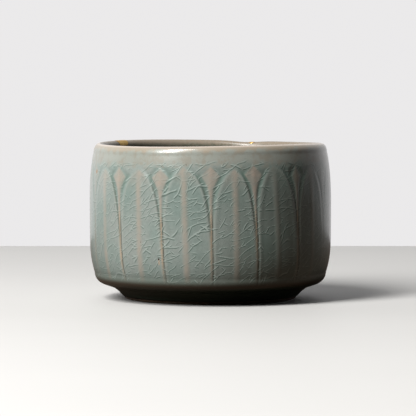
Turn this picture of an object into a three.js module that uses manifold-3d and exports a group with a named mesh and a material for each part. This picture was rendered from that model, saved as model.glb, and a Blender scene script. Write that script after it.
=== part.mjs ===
// A celadon brush pot: a thrown stoneware cylinder on a luted foot ring, carved outside with a
// double row of lotus petals, glazed inside and out, its chipped lip filled with gilded lacquer.
// Millimetres, +Z up. The origin is the middle of the foot, on the table. Azimuths are in degrees,
// 0 at -Y and growing towards +X.
import * as THREE from "three";
import { mergeVertices } from "three/addons/utils/BufferGeometryUtils.js";
import Module from "manifold-3d";

const wasm = await Module();
wasm.setup();

// Overall sizes, over the glaze.
const potRadius = 57.5; // at the belly, where the pot is widest
const potHeight = 73.8; // table to the crest of the lip
const bellyHeight = 42; // height of the widest ring
const lipTuck = 3; // how far the wall has leaned in by the lip
const heelTuck = 2.3; // how far it has leaned in by the heel
const rimSwing = 0.45; // the lip rises and falls by this, twice round

// Wall, lip and floor.
const wallThickness = 4.5;
const floorThickness = 6;
const lipRise = 3.9; // height of the rounding outside the crest
const lipDrop = 2.5; // height of the rounding inside the crest
const crestInset = 2.9; // the crest, in from the outer face
const innerHeelRound = 8; // radius between the inner wall and the floor

// Heel and underside.
const heelRound = 5.8; // radius of the turn under the wall
const heelSweep = 70; // degrees turned before the underside runs straight
const undersideRise = 1.75; // from the foot's neck up to the turn

// Foot ring.
const footRadius = 40.8; // outside, at the table, over the glaze
const footNeckRadius = 46.3; // outside, where it meets the underside
const footHeight = 5.5; // table to that neck
const footHollow = 0.6; // how far its sloping side is hollowed
const footWidth = 5.3; // outer edge to inner edge, at the table
const footInnerLean = 0.6; // its inner side leans in by this
const footChamfer = 0.4; // inner edge at the table
const footBareHeight = 1.5; // wiped clean of glaze up to here

// Glaze, and the joints between pieces.
const glazeThickness = 0.7;
const glazeGap = 0.15; // bond line between clay and glaze
const coatSeam = 0.2; // between the two coats at the crest
const slipGap = 0.3; // slip line under the clay body
const meniscus = 0.6; // how far the base glaze climbs at its edge
const meniscusWidth = 1.2;

// Carved petals: a front row, and a back row whose heads show between them.
const petalCount = 16; // in each row
const frontAzimuth = 11.25; // of one front petal's rib
const plainBand = 9.8; // smooth band from the crest down to the petals' tips
const bandFade = 2.5; // height over which the carving dies out, above the tips and at the heel
const ogeeReach = 12; // how fast a petal widens below its tip
const ogeePower = 0.67;
const bevelWidth = 1; // degrees from a petal's edge down to the ground
const edgeDepth = 0.15; // each of these is how deep the clay is cut
const groundDepth = 0.8;
const headDepth = 0.2; // middle of a back petal's head
const stemDepth = 0.6; // middle of a back petal, below its head
const headHeight = 9; // tip to the bottom of a back petal's head

// Chips out of the lip, each an ellipsoid about a point on the lip.
const chipInset = 1.2; // that point, in from the crest
const chipReach = 3.2; // half the ellipsoid's size through the wall
const fillGap = 0.2; // lacquer line around a fill
const longChip = { azimuth: -123.7, halfLength: 4.7, depth: 4.2 };
const smallChip = { azimuth: 156.9, halfLength: 1.7, depth: 1.7 };

// How finely the turned shapes are faceted.
const plainSegments = 64;
const columnsPerPetal = 6; // rib, edge, ground, back petal, ground, edge
const carvedSegments = petalCount * columnsPerPetal;
const roundSteps = 3; // along each rounding of an outline

const radians = THREE.MathUtils.degToRad;
const coverThickness = glazeThickness + glazeGap; // from the clay to the glaze's surface
const heelTurnHeight = heelRound * Math.sin(radians(heelSweep));
const heelHeight = footHeight + undersideRise + heelTurnHeight;
const petalTip = potHeight - plainBand;
const floorTop = footHeight + floorThickness;

// ---------- Outlines: points { r, z, carved, crest }, walked with the solid on the left ----------

// Radius of the wall's outer surface, between heel and lip.
function wallRadius(z) {
  const up = Math.max(0, (z - bellyHeight) / (potHeight - bellyHeight));
  const down = Math.max(0, (bellyHeight - z) / (bellyHeight - heelHeight));
  return potRadius - lipTuck * up ** 3 - heelTuck * down ** 4.5;
}

// Radius of the foot's outer side.
function footSide(z) {
  const share = z / footHeight;
  const straight = footRadius + (footNeckRadius - footRadius) * share;
  return straight - footHollow * 4 * share * (1 - share);
}

// Points on an ellipse's arc, between two angles in degrees, both ends included.
function arc(centreR, centreZ, radiusR, radiusZ, from, to, steps) {
  return Array.from({ length: steps + 1 }, (_, i) => {
    const angle = radians(from + ((to - from) * i) / steps);
    return { r: centreR + radiusR * Math.cos(angle), z: centreZ + radiusZ * Math.sin(angle) };
  });
}

// An outline moved to its left by a distance. A crest point moves straight down.
function inset(outline, distance) {
  return outline.map((point, i) => {
    if (point.crest) return { ...point, z: point.z - distance };
    const before = outline[Math.max(i - 1, 0)];
    const after = outline[Math.min(i + 1, outline.length - 1)];
    const length = Math.hypot(after.r - before.r, after.z - before.z);
    return {
      ...point,
      r: point.r - (distance * (after.z - before.z)) / length,
      z: point.z + (distance * (after.r - before.r)) / length,
    };
  });
}

// Heights of the rings that carry the carving: close together where the petals curve in.
const tipDrops = [-bandFade, 0, 1.6, 4, 8, 14];
const straightSteps = 2;
const straightTop = petalTip - tipDrops.at(-1);
const straightBottom = heelHeight + bandFade;
const carvedLevels = [
  ...tipDrops.map((drop) => petalTip - drop),
  ...Array.from({ length: straightSteps }, (_, i) =>
    THREE.MathUtils.lerp(straightTop, straightBottom, (i + 1) / straightSteps),
  ),
].reverse();

const lipStart = potHeight - lipRise;
const crestRadius = wallRadius(lipStart) - crestInset;

const footOutline = [footBareHeight, footHeight / 2].map((z) => ({ r: footSide(z), z }));
const wallOutline = [
  { r: footNeckRadius, z: footHeight },
  ...arc(
    wallRadius(heelHeight) - heelRound,
    heelHeight,
    heelRound,
    heelRound,
    -heelSweep,
    0,
    roundSteps,
  ),
  ...carvedLevels.map((z) => ({ r: wallRadius(z), z, carved: true })),
  ...arc(crestRadius, lipStart, crestInset, lipRise, 0, 90, roundSteps),
];
wallOutline.at(-1).crest = true;

const innerLipStart = potHeight - lipDrop;
const innerLipReach = crestRadius - (wallRadius(innerLipStart) - wallThickness);
const seamAngle = 90 + THREE.MathUtils.radToDeg(Math.asin(coatSeam / innerLipReach));
const innerHeelTop = floorTop + innerHeelRound;
const innerHeelRadius = wallRadius(innerHeelTop) - wallThickness;
const innerOutline = [
  ...arc(crestRadius, innerLipStart, innerLipReach, lipDrop, seamAngle, 180, roundSteps),
  ...[0.3, 0.65].map((share) => {
    const z = THREE.MathUtils.lerp(innerLipStart, innerHeelTop, share);
    return { r: wallRadius(z) - wallThickness, z };
  }),
  ...arc(
    innerHeelRadius - innerHeelRound,
    innerHeelTop,
    innerHeelRound,
    innerHeelRound,
    0,
    -90,
    roundSteps,
  ),
  { r: 0, z: floorTop },
];
innerOutline[0].crest = true;

// ---------- Turning and carving ----------

// Half the width of a front petal, in degrees, at a drop below its tip.
function petalHalfWidth(drop) {
  const halfPitch = 180 / petalCount;
  return halfPitch * (1 - Math.exp(-Math.max(0, drop) / ogeeReach)) ** ogeePower;
}

// Where a column of the carved wall lies, in degrees from its front petal's rib, and how deep
// it is cut. Column 0 is the rib, 1 the petal's edge, 2 the ground and 3 the back petal.
function carving(column, z) {
  const halfPitch = 180 / petalCount;
  const drop = petalTip - z;
  const half = petalHalfWidth(drop);
  const edge = THREE.MathUtils.clamp(half, bevelWidth, halfPitch - 1.5 * bevelWidth);
  const fadeTop = THREE.MathUtils.smoothstep(drop, -bandFade, 0);
  const fadeHeel = THREE.MathUtils.smoothstep(z - heelHeight, 0, bandFade);
  const fade = fadeTop * fadeHeel;
  const plain = (halfPitch * column) / 3;
  const carvedAt = [0, edge, edge + bevelWidth, halfPitch][column];
  const inHead = THREE.MathUtils.smoothstep(headHeight - drop, 0, headHeight / 2);
  const backDepth = THREE.MathUtils.lerp(stemDepth, headDepth, inHead);
  return {
    offset: THREE.MathUtils.lerp(plain, carvedAt, fade),
    depth: fade * [0, edgeDepth, groundDepth, backDepth][column],
  };
}

// A shape turned about Z from an outline. Points marked as carved follow the petals.
function turned(outline, segments) {
  const profile = outline.map(({ r, z }) => new THREE.Vector2(r, z));
  const geometry = new THREE.LatheGeometry(profile, segments);
  const position = geometry.getAttribute("position");
  const pitch = 360 / petalCount;
  for (let i = 0; i < position.count; i++) {
    const ring = Math.floor(i / outline.length) % segments;
    const { r, z, carved } = outline[i % outline.length];
    let azimuth = frontAzimuth + (360 * ring) / segments;
    let radius = r;
    if (carved) {
      const column = ring % columnsPerPetal;
      const mirrored = column > columnsPerPetal / 2;
      const cut = carving(mirrored ? columnsPerPetal - column : column, z);
      const rib = frontAzimuth + pitch * Math.floor(ring / columnsPerPetal);
      azimuth = mirrored ? rib + pitch - cut.offset : rib + cut.offset;
      radius = r - cut.depth;
    }
    const share = THREE.MathUtils.clamp((z - bellyHeight) / (potHeight - bellyHeight), 0, 1);
    const lift = rimSwing * share ** 2 * Math.sin(2 * radians(azimuth));
    const x = radius * Math.sin(radians(azimuth));
    const y = -radius * Math.cos(radians(azimuth));
    position.setXYZ(i, x, y, z + lift);
  }
  matchDiagonals(geometry, outline, segments);
  geometry.computeVertexNormals();
  return geometry;
}

// The carved wall's four-sided cells aren't flat. A face that is walked downwards splits them
// along the other diagonal, so that the back of the glaze follows the clay exactly.
function matchDiagonals(geometry, outline, segments) {
  const cells = outline.length - 1;
  for (let cell = 0; cell < segments * cells; cell++) {
    const along = cell % cells;
    const falls = outline[along + 1].z < outline[along].z;
    if (!outline[along].carved || !falls) continue;
    const a = Math.floor(cell / cells) * outline.length + along;
    const [b, c, d] = [a + outline.length, a + outline.length + 1, a + 1];
    [a, b, c, a, c, d].forEach((corner, i) => geometry.index.setX(6 * cell + i, corner));
  }
}

// ---------- Booleans ----------

function solidOf(geometry) {
  const bare = geometry.clone().deleteAttribute("normal").deleteAttribute("uv");
  const merged = mergeVertices(bare, 1e-4);
  return new wasm.Manifold(
    new wasm.Mesh({
      numProp: 3,
      vertProperties: merged.getAttribute("position").array,
      triVerts: new Uint32Array(merged.index.array),
    }),
  );
}

function geometryOf(solid) {
  const { vertProperties, triVerts } = solid.getMesh();
  const geometry = new THREE.BufferGeometry();
  geometry.setAttribute("position", new THREE.BufferAttribute(vertProperties, 3));
  geometry.setIndex(new THREE.BufferAttribute(triVerts, 1));
  geometry.computeVertexNormals();
  return geometry;
}

// The ellipsoid that a chip takes out of the lip, smaller all round by a clearance.
function chipShape({ azimuth, halfLength, depth }, clearance) {
  const angle = radians(azimuth);
  const radius = crestRadius - chipInset;
  const height = potHeight + rimSwing * Math.sin(2 * angle);
  const shape = new THREE.SphereGeometry(1, 20, 12);
  shape.scale(halfLength - clearance, chipReach - clearance, depth - clearance);
  shape.rotateZ(angle);
  shape.translate(radius * Math.sin(angle), -radius * Math.cos(angle), height);
  return solidOf(shape);
}

function chipped(geometry) {
  const chips = [longChip, smallChip].map((chip) => chipShape(chip, 0));
  return geometryOf(chips.reduce((solid, chip) => solid.subtract(chip), solidOf(geometry)));
}

// ---------- The pieces ----------

const stoneware = { color: 0x8a7360, roughness: 0.85, metalness: 0 };
const celadon = { color: 0x8c9a8c, roughness: 0.18, metalness: 0 };
const gold = { color: 0xc9a24e, roughness: 0.35, metalness: 0.9 };

function piece(name, geometry, finish) {
  const mesh = new THREE.Mesh(geometry, new THREE.MeshStandardMaterial(finish));
  mesh.name = name;
  return mesh;
}

// The thrown and carved wall with its floor.
const clayOutside = inset(wallOutline, coverThickness);
const clayInside = inset(innerOutline, coverThickness);
const seatHeight = clayOutside[0].z;
function clayBody() {
  const outline = [{ r: 0, z: seatHeight }, ...clayOutside, ...clayInside.slice(1)];
  return chipped(turned(outline, carvedSegments));
}

// The ring under the body, flat at both ends.
const coneAngle = Math.atan2(footHeight, footNeckRadius - footRadius);
const footInnerRadius = footRadius - footWidth;
function footRing() {
  const cover = coverThickness / Math.sin(coneAngle);
  const top = seatHeight - slipGap;
  const sides = [0, footHeight / 2, footHeight].map((z) => ({ r: footSide(z) - cover, z }));
  const outline = [
    { r: footInnerRadius + footChamfer, z: 0 },
    ...sides,
    { r: sides.at(-1).r, z: top },
    { r: footInnerRadius - footInnerLean, z: top },
    { r: footInnerRadius, z: footChamfer },
  ];
  return turned([...outline, outline[0]], plainSegments);
}

// The outer coat, from the foot over the wall to the crest.
function outerGlaze() {
  const face = [...footOutline, ...wallOutline];
  const outline = [...face, ...inset(face, glazeThickness).reverse()];
  return chipped(turned([...outline, outline[0]], carvedSegments));
}

// The inner coat, from the crest to the floor.
function innerGlaze() {
  const back = inset(innerOutline, glazeThickness).reverse();
  return chipped(turned([...back, ...innerOutline], plainSegments));
}

// The glaze under the floor, which climbs a little where it meets the foot ring.
function baseGlaze() {
  const top = seatHeight - glazeGap;
  const face = top - glazeThickness;
  const edge = footInnerRadius - footInnerLean - slipGap;
  const outline = [
    { r: 0, z: face },
    { r: edge - meniscusWidth, z: face },
    { r: edge, z: face - meniscus },
    { r: edge, z: top },
    { r: 0, z: top },
  ];
  return turned(outline, plainSegments);
}

// A fill makes good the lip as it was before the chip.
function goldFill(chip) {
  const outside = wallOutline.filter(({ z }) => z > petalTip);
  const inside = innerOutline.slice(1).filter(({ z }) => z > innerHeelTop);
  const face = [...outside, ...inside];
  const lip = solidOf(turned([...face, face[0]], carvedSegments));
  return geometryOf(lip.intersect(chipShape(chip, fillGap)));
}

const group = new THREE.Group();
group.add(
  piece("clay_body", clayBody(), stoneware),
  piece("foot_ring", footRing(), stoneware),
  piece("outer_glaze", outerGlaze(), celadon),
  piece("inner_glaze", innerGlaze(), celadon),
  piece("base_glaze", baseGlaze(), celadon),
  piece("gold_fill_left", goldFill(longChip), gold),
  piece("gold_fill_back", goldFill(smallChip), gold),
);

export default group;
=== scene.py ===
# %% [markdown]
# # A celadon brush pot, from wheel to table
#
# This pot is a low cylinder of stoneware on a turned-in foot. Its maker carved a double row of lotus
# petals into the leather-hard wall, glazed it grey-green, and someone later mended its chipped lip
# with gold. The CAD frame already holds every piece at its true size, so the work here is all looks:
# fine meshes in place of the faceted ones, and glaze, clay and gold that behave like the real ones.

# %% Load the frame
import math
import bpy
import numpy as np
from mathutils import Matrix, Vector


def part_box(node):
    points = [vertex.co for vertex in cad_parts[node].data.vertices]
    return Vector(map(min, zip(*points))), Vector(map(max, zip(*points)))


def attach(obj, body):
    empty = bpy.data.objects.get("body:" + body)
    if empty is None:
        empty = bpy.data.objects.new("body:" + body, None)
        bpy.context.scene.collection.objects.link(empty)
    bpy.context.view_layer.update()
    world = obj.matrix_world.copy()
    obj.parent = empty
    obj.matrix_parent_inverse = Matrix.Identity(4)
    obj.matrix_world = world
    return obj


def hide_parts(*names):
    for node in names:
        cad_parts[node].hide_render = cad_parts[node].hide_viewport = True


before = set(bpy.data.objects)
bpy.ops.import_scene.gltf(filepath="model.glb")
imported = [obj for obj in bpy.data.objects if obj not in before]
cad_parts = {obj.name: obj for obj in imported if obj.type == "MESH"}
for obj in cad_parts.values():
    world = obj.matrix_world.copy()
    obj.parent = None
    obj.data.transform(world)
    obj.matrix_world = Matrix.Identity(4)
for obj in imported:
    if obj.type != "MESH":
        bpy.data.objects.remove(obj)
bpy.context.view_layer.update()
print("CAD nodes:", ", ".join(sorted(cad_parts)))

# %% [markdown]
# ## Sizes
#
# A thrower works from a few measures: how wide, how tall, where the belly is, how the lip and the
# heel tuck in. They are the same ones that the CAD pieces were made from, in metres, so the fine
# pieces fall exactly where the faceted ones were. Azimuths are in degrees, 0 towards the front.

# %% Name the pot's sizes
MM = 0.001
POT_RADIUS = 57.5 * MM
POT_HEIGHT = 73.8 * MM
BELLY_HEIGHT = 42 * MM
LIP_TUCK = 3.0 * MM
HEEL_TUCK = 2.3 * MM
RIM_SWING = 0.45 * MM

WALL_THICKNESS = 4.5 * MM
LIP_RISE = 3.9 * MM
LIP_DROP = 2.5 * MM
CREST_INSET = 2.9 * MM
FLOOR_TOP = 11.5 * MM
INNER_HEEL_ROUND = 8 * MM

FOOT_RADIUS = 40.8 * MM
FOOT_NECK_RADIUS = 46.3 * MM
FOOT_HEIGHT = 5.5 * MM
FOOT_HOLLOW = 0.6 * MM
FOOT_WIDTH = 5.3 * MM
FOOT_BARE_HEIGHT = 1.5 * MM
HEEL_ROUND = 5.8 * MM
HEEL_SWEEP = 70
HEEL_HEIGHT = FOOT_HEIGHT + 1.75 * MM + HEEL_ROUND * math.sin(math.radians(HEEL_SWEEP))

GLAZE_THICKNESS = 0.7 * MM

coat_low, coat_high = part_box("outer_glaze")
print("outer coat in the frame:", [round(1000 * v, 1) for v in (*coat_low, *coat_high)], "mm")

# %% [markdown]
# ## The table, the light and the camera
#
# The pot stands on a plain pale table in front of a pale wall. One large soft window, high on the
# left, does nearly all the lighting: it models the carving from the side and leaves a small white
# reflection under the lip. The wall behind is bright, which is what draws the pale strips down the
# pot's two edges, while the room in front is dark. The table shows itself pale, but it throws
# little light back up at the pot, as the dark desk that such a pot lives on would.

# %% Small helpers for shader nodes
def new_tree_node(tree, kind, inputs=None, **settings):
    """Adds a node, sets it up, and fills its inputs with constants or links."""
    node = tree.nodes.new(kind)
    for name, value in settings.items():
        setattr(node, name, value)
    for key, value in (inputs or {}).items():
        if isinstance(value, bpy.types.NodeSocket):
            tree.links.new(value, node.inputs[key])
        else:
            node.inputs[key].default_value = value
    return node


def maths(tree, operation, *values):
    """One Math node, read as a formula."""
    return new_tree_node(tree, "ShaderNodeMath", dict(enumerate(values)), operation=operation).outputs[0]


def ramp(tree, value, low, high, to_low=0.0, to_high=1.0):
    """Turns low..high into to_low..to_high with soft ends."""
    inputs = {"Value": value, "From Min": low, "From Max": high, "To Min": to_low, "To Max": to_high}
    return new_tree_node(
        tree, "ShaderNodeMapRange", inputs, interpolation_type="SMOOTHSTEP"
    ).outputs["Result"]


def mixed(tree, share, first, second):
    """One colour over another. A Mix node keeps its colours in inputs 6 and 7."""
    colours = [c if isinstance(c, bpy.types.NodeSocket) else (*c, 1) for c in (first, second)]
    inputs = {0: share, 6: colours[0], 7: colours[1]}
    return new_tree_node(tree, "ShaderNodeMix", inputs, data_type="RGBA").outputs[2]


def empty_material(name):
    """A material with its output only."""
    material = bpy.data.materials.new(name)
    material.use_nodes = True
    material.node_tree.nodes.clear()
    output = material.node_tree.nodes.new("ShaderNodeOutputMaterial")
    return material, material.node_tree, output


# %% Set up the table
def deselect_all():
    if bpy.context.mode != "OBJECT":
        bpy.ops.object.mode_set(mode="OBJECT")
    bpy.ops.object.select_all(action="DESELECT")


TABLE_WIDTH = 6.0
TABLE_FRONT = -1.2
TABLE_BEHIND = 0.367
TABLE_THICKNESS = 0.03
deselect_all()
table_middle = (0, (TABLE_FRONT + TABLE_BEHIND) / 2, -TABLE_THICKNESS / 2)
bpy.ops.mesh.primitive_cube_add(size=1, location=table_middle)
bpy.ops.transform.resize(value=(TABLE_WIDTH, TABLE_BEHIND - TABLE_FRONT, TABLE_THICKNESS))
bpy.ops.object.transform_apply(location=True, rotation=True, scale=True)
table = bpy.context.object
table.name = "table"
table_finish, tree, output = empty_material("pale_table")
grain = new_tree_node(tree, "ShaderNodeTexNoise", {"Scale": 9.0, "Detail": 5.0})
shown = mixed(tree, grain.outputs["Fac"], (0.60, 0.595, 0.585), (0.65, 0.645, 0.635))
surface = new_tree_node(
    tree, "ShaderNodeBsdfPrincipled", {"Base Color": shown, "Roughness": 0.6}
)
thrown = new_tree_node(tree, "ShaderNodeBsdfDiffuse", {"Color": (0.075, 0.055, 0.042, 1)})
rays = new_tree_node(tree, "ShaderNodeLightPath")
both = new_tree_node(
    tree,
    "ShaderNodeMixShader",
    {0: rays.outputs["Is Camera Ray"], 1: thrown.outputs[0], 2: surface.outputs[0]},
)
tree.links.new(both.outputs[0], output.inputs["Surface"])
table.data.materials.append(table_finish)
print("table:", TABLE_WIDTH, "m wide, ending", TABLE_BEHIND, "m behind the pot")

# %% Set up the wall and the room as the world
WALL_SHOWN = (0.83, 0.82, 0.825)
world = bpy.data.worlds.new("room")
bpy.context.scene.world = world
world.use_nodes = True
tree = world.node_tree
tree.nodes.clear()
direction = new_tree_node(tree, "ShaderNodeTexCoord").outputs["Generated"]
parts = new_tree_node(tree, "ShaderNodeSeparateXYZ", {0: direction})
behind = ramp(tree, parts.outputs["Y"], 0.0, 0.35)
towards_window = ramp(tree, parts.outputs["X"], 0.0, -1.0)
into_the_room = ramp(tree, parts.outputs["X"], 0.5, 1.1)
wall = mixed(tree, towards_window, (0.79, 0.785, 0.79), (0.92, 0.91, 0.90))
wall = mixed(tree, into_the_room, wall, (0.17, 0.17, 0.18))
overhead = ramp(tree, parts.outputs["Z"], 0.45, 0.85)
wall = mixed(tree, overhead, wall, (0.12, 0.12, 0.12))
room = mixed(tree, behind, (0.016, 0.016, 0.017), wall)
seen = new_tree_node(tree, "ShaderNodeBackground", {"Color": (*WALL_SHOWN, 1)})
lit = new_tree_node(tree, "ShaderNodeBackground", {"Color": room})
rays = new_tree_node(tree, "ShaderNodeLightPath")
both = new_tree_node(
    tree, "ShaderNodeMixShader", {0: rays.outputs["Is Camera Ray"], 1: lit.outputs[0], 2: seen.outputs[0]}
)
new_tree_node(tree, "ShaderNodeOutputWorld", {"Surface": both.outputs[0]})
print("world:", world.name)


# %% Hang the window light
def point_at(obj, target):
    """Turns a light or a camera towards a point."""
    away = [a - b for a, b in zip(obj.location, target)]
    flat = math.hypot(away[0], away[1])
    obj.rotation_euler = (math.atan2(flat, away[2]), 0, math.atan2(away[0], -away[1]))


def soft_light(name, azimuth, elevation, distance, width, height, power, colour):
    """A soft rectangular light, aimed at the pot's middle."""
    target = (0, 0, POT_HEIGHT / 2)
    side, lift = math.radians(azimuth), math.radians(elevation)
    flat = distance * math.cos(lift)
    place = (flat * math.sin(side), -flat * math.cos(side), target[2] + distance * math.sin(lift))
    bpy.ops.object.light_add(type="AREA", location=place)
    light = bpy.context.object
    light.name = name
    light.data.shape = "RECTANGLE"
    light.data.size, light.data.size_y = width, height
    light.data.energy = power
    light.data.color = colour
    point_at(light, target)
    return light


window = soft_light(
    "window", azimuth=-46, elevation=45, distance=1.5, width=0.47, height=1.15, power=39,
    colour=(1, 0.988, 0.968),
)
print("light:", window.name)

# %% Place the camera
CAMERA_DISTANCE = 1.287
CAMERA_HEIGHT = 111 * MM
CAMERA_SIDE = -1.1 * MM
CAMERA_TILT = 3.034
CAMERA_LENS = 234.05
place = (CAMERA_SIDE, -CAMERA_DISTANCE, CAMERA_HEIGHT)
bpy.ops.object.camera_add(location=place, rotation=(math.radians(90 - CAMERA_TILT), 0, 0))
camera = bpy.context.object
camera.data.lens = CAMERA_LENS
camera.data.clip_start = 0.05
bpy.context.scene.camera = camera
bpy.context.scene.view_settings.view_transform = "Standard"
print("camera:", CAMERA_LENS, "mm lens, tilted down", CAMERA_TILT, "degrees")

# %% [markdown]
# ## Throwing on the wheel
#
# Every piece of this pot but the gold was turned about one axis, on the wheel. In Blender the wheel is
# the spin operator: an outline is drawn as a chain of points, each one extruded from the last, and
# spun once round the axis. A ready-made cylinder would need all its rings moved one by one, while an
# outline can be planned like the template that a potter holds against the turning clay. The outline
# goes up the outside and comes back down the hidden side, so that every coat is a closed shell.

# %% Spin an outline into a closed shell
def draw_outline(name, outline):
    """Draws a chain of edges in the plane through the axis, from (radius, height) points."""
    deselect_all()
    bpy.ops.mesh.primitive_plane_add(size=1 * MM)
    shape = bpy.context.object
    shape.name = name
    shape.data.name = name
    bpy.ops.object.mode_set(mode="EDIT")
    bpy.ops.mesh.merge(type="CENTER")
    here = outline[0]
    bpy.ops.transform.translate(value=(here[0], 0, here[1]))
    for radius, height in outline[1:]:
        step = (radius - here[0], 0, height - here[1])
        bpy.ops.mesh.extrude_region_move(TRANSFORM_OT_translate={"value": step})
        here = (radius, height)
    return shape


def spun(name, outline, columns):
    """Spins an outline once round the pot's axis and closes it."""
    shape = draw_outline(name, outline)
    bpy.ops.mesh.select_all(action="SELECT")
    bpy.ops.mesh.spin(steps=columns, angle=2 * math.pi, center=(0, 0, 0), axis=(0, 0, 1))
    bpy.ops.mesh.select_all(action="SELECT")
    bpy.ops.mesh.remove_doubles(threshold=0.002 * MM)
    bpy.ops.mesh.normals_make_consistent(inside=False)
    bpy.ops.object.mode_set(mode="OBJECT")
    bpy.ops.object.shade_smooth()
    count = sum(len(face.vertices) - 2 for face in shape.data.polygons)
    print(name, "spun:", len(shape.data.vertices), "points,", count, "triangles")
    return shape


# %% [markdown]
# ## The outlines
#
# The wall is nearly straight, with a slight belly, a lip tucked in above and a heel rounded under.
# Short formulas give the radius at each height, and the rest are arcs. The points are then spaced
# evenly, so that the faces on the side that shows come out nearly square.

# %% Formulas for outlines of (radius, height) points
def arc(centre, reach, start, end, steps):
    """Points along an ellipse, angles in degrees, both ends included."""
    angles = np.radians(np.linspace(start, end, steps + 1))
    return [(centre[0] + reach[0] * math.cos(a), centre[1] + reach[1] * math.sin(a)) for a in angles]


def wall_radius(height):
    up = max(0.0, (height - BELLY_HEIGHT) / (POT_HEIGHT - BELLY_HEIGHT))
    down = max(0.0, (BELLY_HEIGHT - height) / (BELLY_HEIGHT - HEEL_HEIGHT))
    return POT_RADIUS - LIP_TUCK * up**3 - HEEL_TUCK * down**4.5


def foot_side(height):
    share = height / FOOT_HEIGHT
    straight = FOOT_RADIUS + (FOOT_NECK_RADIUS - FOOT_RADIUS) * share
    return straight - FOOT_HOLLOW * 4 * share * (1 - share)


def moved_in(outline, distance):
    """The outline a distance to its left, which is inside the solid."""
    points = np.array(outline)
    along = np.gradient(points, axis=0)
    along /= np.linalg.norm(along, axis=1)[:, None]
    return [tuple(p) for p in points + distance * np.stack([-along[:, 1], along[:, 0]], 1)]


def evened(outline, spacing):
    """The same line with points at an even spacing."""
    points = np.array(outline)
    run = np.concatenate([[0], np.cumsum(np.linalg.norm(np.diff(points, axis=0), axis=1))])
    places = np.linspace(0, run[-1], max(2, round(run[-1] / spacing)) + 1)
    return [(np.interp(p, run, points[:, 0]), np.interp(p, run, points[:, 1])) for p in places]


print("radius at the belly:", round(wall_radius(BELLY_HEIGHT) / MM, 1), "mm")

# %% Join the foot, the heel, the wall and the lip
lip_start = POT_HEIGHT - LIP_RISE
crest_radius = wall_radius(lip_start) - CREST_INSET
FINE = 0.1 * MM
heel_centre = (wall_radius(HEEL_HEIGHT) - HEEL_ROUND, HEEL_HEIGHT)
foot_line = [(foot_side(z), z) for z in np.arange(FOOT_BARE_HEIGHT, FOOT_HEIGHT, 4 * FINE)]
heel_line = arc(heel_centre, (HEEL_ROUND, HEEL_ROUND), -HEEL_SWEEP, 0, 40)
wall_line = [(wall_radius(z), z) for z in np.arange(HEEL_HEIGHT + FINE, lip_start, 4 * FINE)]
lip_line = arc((crest_radius, lip_start), (CREST_INSET, LIP_RISE), 0, 90, 40)
outer_line = foot_line + [(FOOT_NECK_RADIUS, FOOT_HEIGHT)] + heel_line + wall_line + lip_line
print("outer line:", len(outer_line), "points before spacing")

# %% [markdown]
# ## The outer coat of glaze
#
# The outer glaze runs from just above the table, under the heel, up the carved wall and over to the
# crest of the lip. What we see of the carving is this glaze lying over it. Its front needs a point
# every two thirds of a millimetre or less to hold the carved edges, and its hidden back only has to
# follow roughly, so the front gets many rings and the back a few.

# %% Spin the outer coat
COAT_COLUMNS = 720
FRONT_SPACING = 0.66 * MM
BACK_SPACING = 6.5 * MM
front = evened(outer_line, FRONT_SPACING)
back = moved_in(evened(outer_line, BACK_SPACING), GLAZE_THICKNESS)[::-1]
outer_coat = spun("celadon_outside", front + back + front[:1], COAT_COLUMNS)

# %% [markdown]
# ## Carving the petals
#
# The petals are shallow relief, under a millimetre deep. The maker drew sixteen front petals by eye,
# so no two are quite alike, then cut away the ground between them to leave a second row peeping out
# behind: a kite-shaped head on a long thin stem. Each petal has a raised rib and a soft raised edge.
#
# The carving is worked out as a height for every point of the coat, from its distance to the nearest
# petal edge, rib and stem. The same distances say where the glaze will run thin or pool, and they are
# kept as attributes for the material. Painting them point by point is exact, which a picture
# projected round the pot would not be.

# %% Lay out the two rows of petals
PETALS = 16
DEGREE = math.radians(1) * POT_RADIUS
PETAL_TIP = 64 * MM
PETAL_FOOT = 12 * MM
# Azimuth of the rib at the tip and at the foot, and the tip's height, for the petals drawn first.
DRAWN_FRONT = ((-59.5, -58.0, 63.2), (-35.5, -34.5, 63.5), (-12.5, -11.0, 64.5), (11.2, 12.5, 63.5),
               (31.0, 34.0, 64.8), (55.0, 56.5, 63.6))
DRAWN_BACK = ((-48.0, -45.7, 63.8), (-24.0, -22.2, 63.6), (0.0, 0.9, 64.6), (20.2, 22.8, 65.0),
              (44.0, 45.5, 64.0))
hand = np.random.default_rng(16)


def full_row(drawn, start, end, count):
    """Adds evenly spaced, slightly uneven petals from start to end to the drawn ones."""
    places = np.linspace(start, end, count)
    wobble = hand.uniform(-0.7, 0.7, (count, 2))
    tips = hand.uniform(63.2, 64.8, count)
    added = [(p + w[0], p + 0.8 + w[1], t) for p, w, t in zip(places, wobble, tips)]
    return np.array(list(drawn) + added)


rest_of_front = PETALS - len(DRAWN_FRONT)
front_gap = (360 + DRAWN_FRONT[0][0] - DRAWN_FRONT[-1][0]) / (rest_of_front + 1)
front_row = full_row(
    DRAWN_FRONT, DRAWN_FRONT[-1][0] + front_gap, 360 + DRAWN_FRONT[0][0] - front_gap, rest_of_front
)
rest_of_back = PETALS - len(DRAWN_BACK)
back_row = full_row(
    DRAWN_BACK, DRAWN_FRONT[-1][0] + front_gap / 2, 360 + DRAWN_FRONT[0][0] - front_gap / 2, rest_of_back
)
head_shares = np.ones(len(back_row))
head_shares[len(DRAWN_BACK) - 1] = 0.6
# The glaze pattern's seam runs down one rib at the back, where it can't be seen, so that rib is straight.
seam_petal = int(np.argmin(np.abs(front_row[:, 0] - 180)))
front_row[seam_petal, 1] = front_row[seam_petal, 0]
SEAM_AZIMUTH = float(front_row[seam_petal, 0])
print("front petals:", len(front_row), " back petals:", len(back_row), " seam at", round(SEAM_AZIMUTH, 1))


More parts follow.
